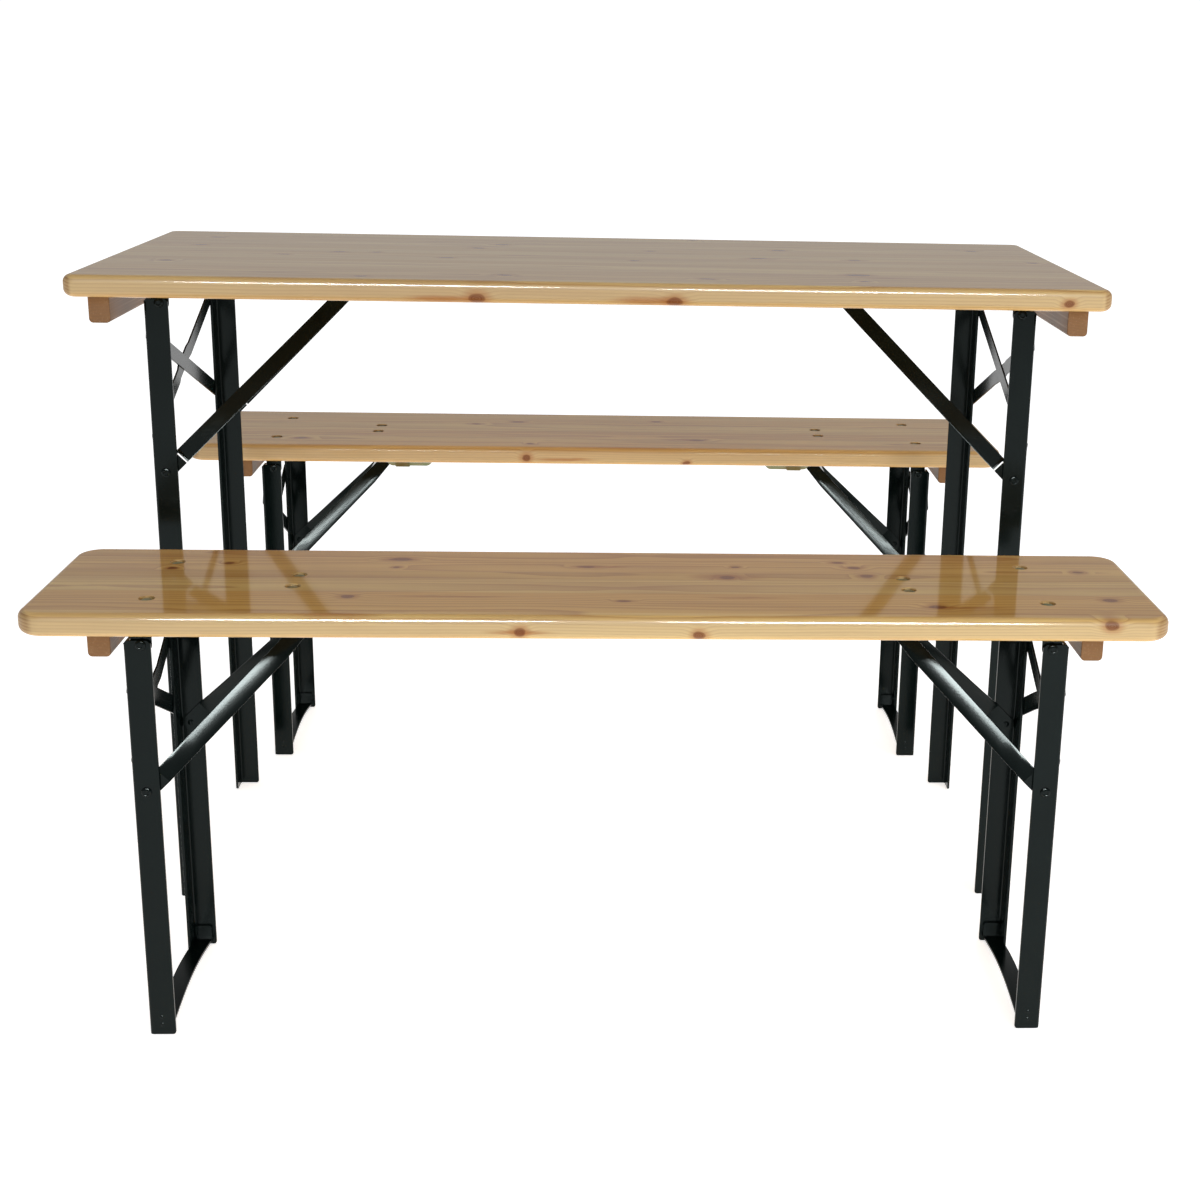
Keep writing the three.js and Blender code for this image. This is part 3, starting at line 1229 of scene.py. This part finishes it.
@dataclass
class LatchKeeper(Part):
    """Plated channel under the board that catches the brace's pin."""

    kind = "latch_keeper"
    label = "channel"
    slot = Slot.ZINC
    bolts: tuple[tuple[float, float], ...]
    through: bool
    plate: float = 2.5 * MM
    inward: float = 71 * MM
    outward: float = 34 * MM
    inside: float = 30.5 * MM
    cheek_out: float = 4 * MM
    cheek_drop: float = 24 * MM
    slope: float = 10 * MM

    def shape(self, work: Workpiece) -> Matrix:
        """Build the plate, its two cheeks with flared lips, and the bolts."""
        plan = self.plan
        apex = plan.apex_x
        x0, x1, end = apex - self.inward, apex + self.outward, apex + self.cheek_out
        top = plan.underside - plan.gap
        seat, low = top - self.plate, top - self.cheek_drop
        outside = self.inside + self.plate
        made = work.block((x0, -outside, seat), (x1, outside, top))
        made = work.soften(made, 5 * MM, 5, lambda middle, along: abs(along.z) > 0.9 and middle.x > apex)
        work.soften(made, 0.4 * MM, 2, lambda middle, along: middle.z < top - 0.1 * MM)
        cheek = [(x0, seat), (x0, low + self.slope), (x0 + self.slope, low), (end - self.slope, low),
                 (end, low + self.slope), (end, seat)]
        flare = [(-0.4, 12), (3.4, -0.8), (1.6, -1.2), (-0.8, 9)]
        lip0, lip1 = apex - 34 * MM, apex - 13 * MM
        for side in (-1, 1):
            made = work.prism([(x, side * self.inside, z) for x, z in cheek], (0, side * self.plate, 0))
            below = seat - 1 * MM
            made = work.soften(made, 3 * MM, 4, lambda middle, along: abs(along.y) > 0.9 and middle.z < below)
            work.soften(made, 0.5 * MM, 2, lambda middle, along: middle.z < seat - 0.1 * MM)
            lip = [(lip0, side * (outside + out * MM), low + up * MM) for out, up in flare]
            work.soften(work.prism(lip, (lip1 - lip0, 0, 0)), 0.4 * MM, 2)
        for x, y in self.bolts:
            fasten(work, plan, x, y, seat, self.through)
        return plan.place


@dataclass
class XBrace(Part):
    """Two flat bars that cross between the legs, on their outer faces."""

    kind = "x_brace"
    label = "bars"
    thickness: float = 2.3 * MM
    end_inset: float = 13 * MM
    step: float = 1.2 * MM
    step_cuts: tuple[float, ...] = (-34 * MM, -24 * MM, 24 * MM, 34 * MM)

    def shape(self, work: Workpiece) -> Matrix:
        """Lay both bars along Y, step one over the other, and tilt them."""
        plan = self.plan
        slope = math.atan2(plan.bar_rise, plan.outer_y)
        half = (plan.outer_y - self.end_inset) / math.cos(slope)
        height = plan.underside - plan.bar_drop
        base = plan.outer_x + 0.15 * MM
        wide = plan.bar_width
        for turn, lift in ((slope, 0.0), (-slope, self.step)):
            made = work.block((base, -half, -wide / 2), (base + self.thickness, half, wide / 2))
            others = set(work.mesh.verts) - set(made)
            if lift:
                work.slice(others, (0, 1, 0), self.step_cuts)
                middle = [vert for vert in work.besides(others) if abs(vert.co.y) < 25 * MM]
                bmesh.ops.translate(work.mesh, vec=(lift, 0, 0), verts=middle)
            made = work.soften(work.besides(others), 2.2 * MM, 3, at("x"))
            work.soften(made, 0.4 * MM, 2)
            ends = (-half + 9 * MM, half - 9 * MM)
            for y in (*ends, -0.75 * wide, 0.75 * wide) if lift else ends:
                near = abs(y) < 30 * MM
                foot = base + self.thickness + (lift if near else 0.0)
                place = Matrix.Translation((foot, y, 0.0)) @ Matrix.Rotation(math.pi / 2, 4, "Y")
                dimple(work, place, 1.9 * MM if near else 2.8 * MM)
            tilt = Matrix.Translation((0, 0, height)) @ Matrix.Rotation(turn, 4, "X")
            bmesh.ops.transform(work.mesh, verts=work.besides(others), matrix=tilt)
        return plan.place


@dataclass
class FoldBrace(Part):
    """V-shaped folding brace, drawn flat from its rivets to its pin and then turned up.

    Each arm is a strip that lies flat on the leg and is then folded along its
    length, so that its upper half leans in towards the other arm.
    """

    kind = "fold_brace"
    label = "arms"
    notched: bool
    wall: float = 2.5 * MM
    depth: float = 18.6 * MM
    fold_height: float = -1.8 * MM
    lean_in: float = 4.0 * MM
    fold_start: float = 42 * MM
    tab: float = 24 * MM
    notch: float = 2.5 * MM
    apex_half: float = 22 * MM
    apex_plate: float = 30 * MM
    apex_lip: float = 6 * MM
    taper: float = 40 * MM
    pin_radius: float = 4 * MM
    pin_half: float = 27 * MM

    def shape(self, work: Workpiece) -> Matrix:
        """Shape the brace flat, and say how it is turned up."""
        plan = self.plan
        depth = plan.leg_wall + plan.gap + self.wall - 1.5 * MM
        shank = [(0, -0.7 * MM), (2.2 * MM, -0.6 * MM), (3.6 * MM, -0.1 * MM), (3.9 * MM, 0.4 * MM),
                 (3.9 * MM, depth), (0, depth)]
        self._apex(work)
        for side in (-1, 1):
            self._tab(work, side)
            self._arm(work, side)
            Fixing.RIVET.add(work, along_y(0.0, side * (plan.outer_y + 0.05 * MM), 0.0, side))
            work.revolve(shank, along_y(0.0, side * (plan.inner_y - self.wall), 0.0, side), 20)
        pin, tip = self.pin_half, 0.8 * MM
        profile = [(0, -pin), (self.pin_radius - tip, -pin), (self.pin_radius, -pin + tip),
                   (self.pin_radius, pin - tip), (self.pin_radius - tip, pin), (0, pin)]
        across = Matrix.Translation((plan.brace_length, 0, 0)) @ Matrix.Rotation(math.pi / 2, 4, "X")
        work.revolve(profile, across)
        x, z = plan.brace_foot
        c = math.sqrt(0.5)
        return plan.place @ Matrix(((-c, 0, c, x), (0, -1, 0, 0), (c, 0, c, z), (0, 0, 0, 1)))

    @property
    def start(self) -> float:
        """Where the arms leave their tabs."""
        return self.tab + (self.notch if self.notched else 0.0)

    @property
    def easing(self) -> float:
        """Length over which the fold takes its full depth."""
        return 2 * MM if self.notched else self.fold_start

    @property
    def end(self) -> float:
        """Far end of the brace."""
        return self.plan.brace_length + self.apex_lip

    def half_at(self, along: float) -> float:
        """Half the width between the arms' outer faces.

        Args:
            along: Distance from the rivets.

        Returns:
            The half width there.
        """
        share = min(max((along - self.start) / (self.end - self.start), 0.0), 1.0)
        return self.plan.inner_y + (self.apex_half - self.plan.inner_y) * share

    def _apex(self, work: Workpiece) -> None:
        """Add the flat plate that joins the arms.

        Args:
            work: The mesh.
        """
        top = self.depth / 2
        near = self.end - self.apex_plate
        inset = self.lean_in - 1.2 * MM
        outline = [
            (near, self.half_at(near) - inset), (self.end, self.apex_half - inset),
            (self.end, inset - self.apex_half), (near, inset - self.half_at(near)),
        ]
        made = work.prism([(x, y, top - self.wall) for x, y in outline], (0, 0, self.wall))
        work.soften(made, 0.35 * MM, 2)

    def _tab(self, work: Workpiece, side: int) -> None:
        """Add the flat tab that takes a rivet.

        Args:
            work: The mesh.
            side: 1 or -1 across the brace.
        """
        top = self.depth / 2
        face, back = side * self.plan.inner_y, side * (self.plan.inner_y - self.wall)
        corners = [(-top, -top), (self.tab, -top), (self.tab, top), (-top, top)]
        made = work.prism([(x, face, z) for x, z in corners], (0, back - face, 0))
        made = work.soften(made, 8.6 * MM, 8, lambda middle, along: abs(along.y) > 0.9 and middle.x < 0)
        work.soften(made, 0.4 * MM, 2, lambda middle, along: middle.x < self.tab - 0.1 * MM)
        if self.notched:
            bridge = [(self.tab - 1 * MM, top * 0.62), (self.start + 1 * MM, top * 0.62),
                      (self.start + 1 * MM, top - 0.1 * MM), (self.tab - 1 * MM, top - 0.1 * MM)]
            work.prism([(x, face - side * 0.1 * MM, z) for x, z in bridge], (0, (back - face) * 0.9, 0))

    def _arm(self, work: Workpiece, side: int) -> None:
        """Add one arm.

        Args:
            work: The mesh.
            side: 1 or -1 across the brace.
        """
        top, wall = self.depth / 2, self.wall
        fold = math.atan2(self.lean_in, top - self.fold_height)
        shift = wall * math.tan(fold / 2)
        across, up = wall * math.cos(fold), wall * math.sin(fold)
        section = [
            (0.0, -top), (0.0, self.fold_height), (self.lean_in, top),
            (self.lean_in + across, top - up), (wall, self.fold_height - shift), (wall, -top),
        ]
        flat = [(0.0, -top), (0.0, top - 1.2 * MM), (0.2 * MM, top),
                (wall, top), (wall, top - 1.3 * MM), (wall, -top)]
        first, last = self.start, self.end
        made = work.prism(
            [(first, side * (self.half_at(first) - inward), height) for inward, height in section],
            (last - first, side * (self.apex_half - self.half_at(first)), 0),
        )
        others = set(work.mesh.verts) - set(made)
        work.slice(others, (1, 0, 0), (first + self.easing * 0.45, first + self.easing, last - self.taper))
        for vert in work.besides(others):
            self._press(vert, side, section, flat)
        own = work.besides(others)
        work.outwards(own)
        crease = first + self.easing * 0.3

        def ridge(middle: Vector, along: Vector) -> bool:
            """Whether an edge is the fold's outer crease."""
            outer = abs(abs(middle.y) - self.half_at(middle.x)) < 0.3 * MM
            return outer and abs(along.x) > 0.8 and middle.x > crease and middle.z > -top * 0.5

        own = work.soften(own, 3.2 * MM, 6, ridge)
        work.soften(own, 0.4 * MM, 2, lambda middle, along: middle.x > first + 0.1 * MM)

    def _press(
        self, vert: bmesh.types.BMVert, side: int,
        section: list[tuple[float, float]], flat: list[tuple[float, float]],
    ) -> None:
        """Flatten the arm towards its tab and taper it towards the apex.

        Args:
            vert: One corner of the arm.
            side: 1 or -1 across the brace.
            section: The folded section, as inward distance and height.
            flat: The flat section with the same number of corners.
        """
        along = vert.co.x
        half = self.half_at(along)
        inward = half - side * vert.co.y
        misses = [abs(across - inward) + abs(up - vert.co.z) for across, up in section]
        corner = misses.index(min(misses))
        share = min(max((along - self.start) / self.easing, 0.0), 1.0)
        eased = share * share * (3 - 2 * share)
        (x0, z0), (x1, z1) = flat[corner], section[corner]
        vert.co.y = side * (half - (x0 + (x1 - x0) * eased))
        vert.co.z = z0 + (z1 - z0) * eased
        narrow = min(max((along - self.end + self.taper) / self.taper, 0.0), 1.0)
        if corner in (0, 5):
            vert.co.z += narrow * min(3.4 * MM, self.fold_height + self.depth / 2 - 0.5 * MM)


@dataclass
class FootStrip(Part):
    """Bowed flat bar between the feet of a bench's leg frame."""

    kind = "foot_strip"
    label = "bar"
    width: float = 20 * MM
    thickness: float = 3 * MM
    end_height: float = 5 * MM
    rise: float = 10 * MM
    tab: float = 20 * MM
    cuts: int = 22

    def shape(self, work: Workpiece) -> Matrix:
        """Bow a flat bar and turn its ends up against the legs."""
        plan, mesh = self.plan, work.mesh
        reach = plan.inner_y
        x1 = plan.outer_x - plan.leg_wall - plan.gap
        inner = reach - self.thickness
        work.block((x1 - self.width, -reach, 0.0), (x1, reach, self.thickness))
        work.slice(set(), (0, 1, 0), [inner * (2 * step / self.cuts - 1) for step in range(self.cuts + 1)])
        for vert in mesh.verts:
            share = min(abs(vert.co.y) / inner, 1.0)
            vert.co.z += self.end_height + self.rise * math.sin(math.pi * (1 - share) / 2)
        for side in (-1, 1):
            tops = [face for face in mesh.faces
                    if face.normal.z > 0.9 and side * face.calc_center_median().y > inner]
            mesh.normal_update()
            grown = bmesh.ops.extrude_face_region(mesh, geom=tops)["geom"]
            last = [item for item in grown if isinstance(item, bmesh.types.BMVert)]
            bmesh.ops.delete(mesh, geom=tops, context="FACES_ONLY")
            bmesh.ops.translate(mesh, vec=(0, 0, self.tab - self.thickness), verts=last)
        made = mesh.verts[:]
        work.outwards(made)
        low, high = self.end_height + 0.5 * MM, self.end_height + self.tab - 1 * MM
        made = work.soften(made, 2.6 * MM, 4, lambda middle, along: abs(along.x) > 0.9 and middle.z < low)
        made = work.soften(made, 3.0 * MM, 4, lambda middle, along: abs(along.y) > 0.9 and middle.z > high)
        work.soften(made, 0.4 * MM, 2)
        return plan.place


# ----------------------------------------------------------------- the set


@dataclass
class LegFrame:
    """Everything that one end of a unit carries."""

    plan: Plan
    bolt_y: float
    keeper_bolts: tuple[tuple[float, float], ...]
    is_bench: bool

    def build(self, finishes: Finishes) -> None:
        """Build the pieces in the order that a fitter would.

        Args:
            finishes: The shared materials.
        """
        Batten(self.plan).build(finishes)
        LatchKeeper(self.plan, self.keeper_bolts, self.is_bench).build(finishes)
        for side in (-1, 1):
            HingeBracket(self.plan, side, self.bolt_y, self.is_bench).build(finishes)
            Leg(self.plan, side, self.is_bench).build(finishes)
        XBrace(self.plan).build(finishes)
        if self.is_bench:
            FoldBrace(self.plan, False).build(finishes)
            FootStrip(self.plan).build(finishes)
        else:
            FoldBrace(self.plan, True, fold_height=-8.2 * MM, lean_in=7.6 * MM).build(finishes)


def staves(*rows: tuple[float, Colour, Colour]) -> tuple[Stave, ...]:
    """Staves from rows of edge in millimetres, tone and heart."""
    return tuple(Stave(edge * MM, tone, heart) for edge, tone, heart in rows)


def knots(*rows: tuple[float, ...]) -> tuple[Knot, ...]:
    """Knots from rows of x, y, radius, stretch and drop, in millimetres where they are sizes."""
    made = []
    for x, y, radius, *rest in rows:
        stretch = rest[0] if rest else 1.4
        drop = rest[1] if len(rest) > 1 else 0.0
        reach = 13.0 if drop else 40.0
        made.append(Knot(x * MM, y * MM, radius * MM, stretch, drop * MM, reach * MM))
    return tuple(made)


@dataclass
class Table:
    """The folding table."""

    corner: float = 16 * MM

    def build(self, finishes: Finishes) -> None:
        """Build the table.

        Args:
            finishes: The shared materials.
        """
        low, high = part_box("table_top")
        middle = ((low.x + high.x) / 2, (low.y + high.y) / 2, high.z)
        finish = Pine(
            "table_pine", middle, high.y - low.y,
            staves(
                (-250, (1.02, 0.97, 0.88), (0.03, 0.20, 0.55)),
                (-228, (0.94, 0.84, 0.72), (0.12, 0.55, 0.47)),
                (-141, (1.05, 1.03, 1.00), (0.30, 0.35, 0.56)),
                (-85, (0.93, 0.83, 0.72), (0.44, 0.80, 0.45)),
                (-56, (1.02, 1.00, 0.96), (0.36, 0.30, 0.53)),
                (-17, (0.96, 0.87, 0.78), (0.52, 0.62, 0.46)),
                (17, (1.04, 1.04, 1.00), (0.62, 0.25, 0.55)),
                (52, (0.95, 0.86, 0.75), (0.56, 0.75, 0.52)),
                (95, (1.00, 0.96, 0.92), (0.75, 0.40, 0.46)),
                (150, (0.95, 0.87, 0.78), (0.80, 0.60, 0.55)),
                (200, (1.02, 1.00, 0.95), (0.97, 0.35, 0.48)),
            ),
            knots(
                (-502, 169, 5), (-504, 75, 5), (-506, -98, 6), (-384, -16, 4, 2.0),
                (-321, 20, 5), (-276, 22, 4),
                (-185, -26, 5, 1.8), (-155, 87, 6), (-126, 133, 6), (-262, -220, 5), (-105, -191, 6),
                (201, 19, 6, 1.8), (45, -27, 4), (67, 83, 4), (127, -197, 5, 1.8), (307, -140, 9, 1.6),
                (307, -198, 4), (323, 16, 5, 1.6), (496, 147, 5), (235, 117, 6), (127, 229, 5), (550, 16, 5),
                (88, -250, 5, 2.0, 20), (533, -250, 4, 1.5, 16), (-131, -250, 6, 1.6, 20),
            ),
            knots(
                (60, -250, 5, 8, 19), (-170, -250, 4, 9, 20), (330, -165, 5, 7), (230, 22, 3, 14),
                (-150, 110, 4, 10),
            ),
        )
        Board("table_top", finish, Slot.TOP_WOOD, self.corner).build()
        for end in End:
            plan = Plan("table", end, 212 * MM, 113 * MM, 18.5 * MM, 70 * MM)
            apex = plan.apex_x
            spots = ((apex + 20 * MM, -18 * MM), (apex + 20 * MM, 18 * MM), (apex - 55 * MM, 0.0))
            LegFrame(plan, plan.inner_y - 24 * MM, spots, False).build(finishes)


@dataclass
class Bench:
    """A folding bench."""

    unit: str
    staves: tuple[Stave, ...]
    knots: tuple[Knot, ...]
    streaks: tuple[Knot, ...]
    corner: float = 28 * MM
    hinge_bolt: tuple[float, float] = (465.5 * MM, 67 * MM)
    keeper_bolt: tuple[float, float] = (326 * MM, 21 * MM)

    def build(self, finishes: Finishes) -> None:
        """Build the bench.

        Args:
            finishes: The shared materials.
        """
        node = f"{self.unit}_seat"
        low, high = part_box(node)
        middle = ((low.x + high.x) / 2, (low.y + high.y) / 2, high.z)
        finish = Pine(f"{self.unit}_pine", middle, high.y - low.y, self.staves, self.knots, self.streaks)
        spots = tuple(
            (sx * x, sy * y) for x, y in (self.hinge_bolt, self.keeper_bolt) for sx in (-1, 1) for sy in (-1, 1)
        )
        Board(node, finish, Slot.SEAT_WOOD, self.corner, bolt_spots=spots).build()
        x, y = self.keeper_bolt
        for end in End:
            plan = Plan(self.unit, end, 174 * MM, 105 * MM, 20 * MM, 52 * MM)
            LegFrame(plan, self.hinge_bolt[1], ((x, -y), (x, y)), True).build(finishes)


@dataclass(frozen=True)
class SoftBox:
    """A soft area light aimed at a point."""

    name: str
    at: Point
    aim: Point
    size: float
    power: float
    gloss_only: bool = False

    def build(self) -> None:
        """Hang the light."""
        data = bpy.data.lights.new(self.name, "AREA")
        data.shape = "DISK"
        data.size = self.size
        data.energy = self.power
        made = bpy.data.objects.new(self.name, data)
        made.location = self.at
        made.rotation_euler = (Vector(self.aim) - Vector(self.at)).to_track_quat("-Z", "Y").to_euler()
        made.visible_diffuse = not self.gloss_only
        made.visible_glossy = self.gloss_only
        bpy.context.scene.collection.objects.link(made)


@dataclass
class Studio:
    """Pale floor, white surroundings and soft lights."""

    half: float = 30.0
    backdrop: float = 1.05
    horizon: float = 0.42
    zenith: float = 0.50
    band: tuple[float, float] = (0.16, 0.60)
    lights: tuple[SoftBox, ...] = (
        SoftBox("key_soft_box", (2.1, -2.3, 1.5), (0.3, -0.1, 0.4), 1.4, 26.0),
        SoftBox("right_soft_box", (0.80, -3.55, 2.97), (0.40, -0.47, 0.35), 1.3, 360.0, True),
        SoftBox("left_soft_box", (-0.80, -3.55, 2.97), (-0.40, -0.47, 0.35), 1.3, 360.0, True),
    )

    def build(self) -> None:
        """Set up the studio."""
        work = Workpiece()
        bmesh.ops.create_grid(work.mesh, x_segments=2, y_segments=2, size=self.half)
        data = bpy.data.meshes.new("studio_floor")
        work.mesh.to_mesh(data)
        work.mesh.free()
        data.materials.append(PaleFloor().material())
        floor = bpy.data.objects.new("studio_floor", data)
        floor.location.z = -0.5 * MM
        bpy.context.scene.collection.objects.link(floor)
        world = bpy.data.worlds.new("studio_surroundings")
        world.use_nodes = True
        tree = world.node_tree
        tree.nodes.clear()
        bench = NodeBench.on(tree)
        height = bench.split(bench.node("ShaderNodeTexCoord", {}, {}).outputs["Generated"])[2]
        room = height.ease(self.band[0], self.band[1], self.horizon, self.zenith)
        seen = Value(bench, bench.node("ShaderNodeLightPath", {}, {}).outputs["Is Camera Ray"])
        glow = room * (1.0 - seen) + seen * self.backdrop
        sky = bench.node("ShaderNodeBackground", {}, {"Color": (1.0, 1.0, 1.0, 1.0), "Strength": glow})
        bench.node("ShaderNodeOutputWorld", {}, {"Surface": sky.outputs["Background"]})
        bpy.context.scene.world = world
        for light in self.lights:
            light.build()
        bpy.context.scene.view_settings.view_transform = "Standard"


@dataclass(frozen=True)
class Viewpoint:
    """The camera."""

    at: Point = (0.0165, -2.2177, 1.0295)
    pitch: float = -0.27331
    heading: float = 0.05518
    roll: float = 0.02236
    lens: float = 53.25
    shift: tuple[float, float] = (-0.0902, -0.0422)

    def build(self) -> None:
        """Put the camera in place."""
        ahead = Vector((
            math.sin(self.heading) * math.cos(self.pitch),
            math.cos(self.heading) * math.cos(self.pitch),
            math.sin(self.pitch),
        ))
        level = Vector((math.cos(self.heading), -math.sin(self.heading), 0.0))
        upright = level.cross(ahead)
        right = level * math.cos(self.roll) + upright * math.sin(self.roll)
        up = upright * math.cos(self.roll) - level * math.sin(self.roll)
        data = bpy.data.cameras.new("viewpoint")
        data.lens = self.lens
        data.sensor_width = 36.0
        data.shift_x, data.shift_y = self.shift
        camera = bpy.data.objects.new("viewpoint", data)
        turn = Matrix((right, up, -ahead)).transposed().to_4x4()
        camera.matrix_world = Matrix.Translation(self.at) @ turn
        bpy.context.scene.collection.objects.link(camera)
        bpy.context.scene.camera = camera


PINKISH = (1.00, 0.90, 0.76)
TAN = (0.92, 0.83, 0.64)
LIGHT = (1.03, 1.01, 0.93)
ORANGE = (1.00, 0.85, 0.60)

FRONT_BENCH = Bench(
    "front_bench",
    staves(
        (-124, (1.16, 1.12, 1.02), (0.05, 0.55, 0.52)),
        (-108, ORANGE, (0.06, 0.55, 0.52)),
        (-40, LIGHT, (0.40, 0.30, 0.47)),
        (9, TAN, (0.62, 0.70, 0.55)),
        (35, PINKISH, (0.70, 0.35, 0.46)),
        (80, (0.98, 0.88, 0.77), (0.92, 0.45, 0.53)),
    ),
    knots(
        (-467, 43, 4), (-409, 63, 4), (-264, -57, 6, 1.3), (261, 81, 4, 1.8), (278, 61, 5, 1.6),
        (288, 29, 6, 1.2), (347, -82, 6, 1.6), (527, 49, 4), (535, -55, 6), (-225, 83, 6, 2.2), (-226, 52, 3),
        (-20, 58, 3.5, 3.0), (145, 60, 3), (133, 20, 7, 1.2), (22, -67, 3, 2.6),
        (-83, -124, 5, 1.3, 16), (97, -124, 5, 1.3, 19), (520, -124, 5, 1.5, 6),
    ),
    knots(
        (375, -84, 4, 10), (-268, -117, 5, 9), (-162, -55, 3, 20),
        (149, -54, 3, 14), (-83, -124, 2.5, 12, 16), (133, 22, 12, 3.0),
        (0, 58, 4, 6),
    ),
)
BACK_BENCH = Bench(
    "back_bench",
    staves(
        (-124, (1.00, 0.90, 0.76), (0.08, 0.40, 0.50)),
        (-84, (1.00, 0.95, 0.86), (0.20, 0.55, 0.47)),
        (-52, (0.97, 0.84, 0.72), (0.33, 0.30, 0.53)),
        (-12, (1.02, 0.98, 0.90), (0.60, 0.75, 0.46)),
        (38, (0.98, 0.86, 0.74), (0.66, 0.40, 0.55)),
        (82, (1.00, 0.92, 0.82), (0.95, 0.30, 0.48)),
    ),
    knots(
        (-124, 57, 5, 2.0), (-187, 38, 4, 2.0), (86, 69, 4, 2.4), (142, -62, 6, 2.2), (-98, -98, 4),
        (-103, -124, 5, 1.2, 15), (-430, -74, 5, 2.0), (124, -124, 3, 1.6, 20),
    ),
    knots((-50, -124, 2.5, 16, 17), (120, -60, 7, 4.0)),
)


def main() -> None:
    """Build the camera, the studio and the set."""
    logging.basicConfig(level=logging.INFO, format="%(name)s: %(message)s")
    Viewpoint().build()
    Studio().build()
    # Painted shade: the battens' pine gets the dark tone it shows in the shade under the boards, far darker
    # than the boards' own pine.
    shaded_batten_pine = Pine(
        "shaded_batten_pine", (0.0, 0.0, 0.0), 1.3,
        staves((-650, (1.0, 1.0, 1.0), (0.10, 0.2, 0.52)), (0, (0.96, 0.96, 0.96), (0.85, 0.4, 0.46))),
        turned=True, pale=(0.200, 0.105, 0.038), late=(0.125, 0.052, 0.016),
        varnish=0.35, varnish_roughness=0.28, painted_sheen_share=0.0,
    )
    finishes = {
        Slot.COATED_STEEL: PowderCoat().material(),
        Slot.ZINC: YellowZinc().material(),
        Slot.BATTEN_WOOD: shaded_batten_pine.material(),
    }
    Table().build(finishes)
    FRONT_BENCH.build(finishes)
    BACK_BENCH.build(finishes)


if __name__ == "__main__":
    main()
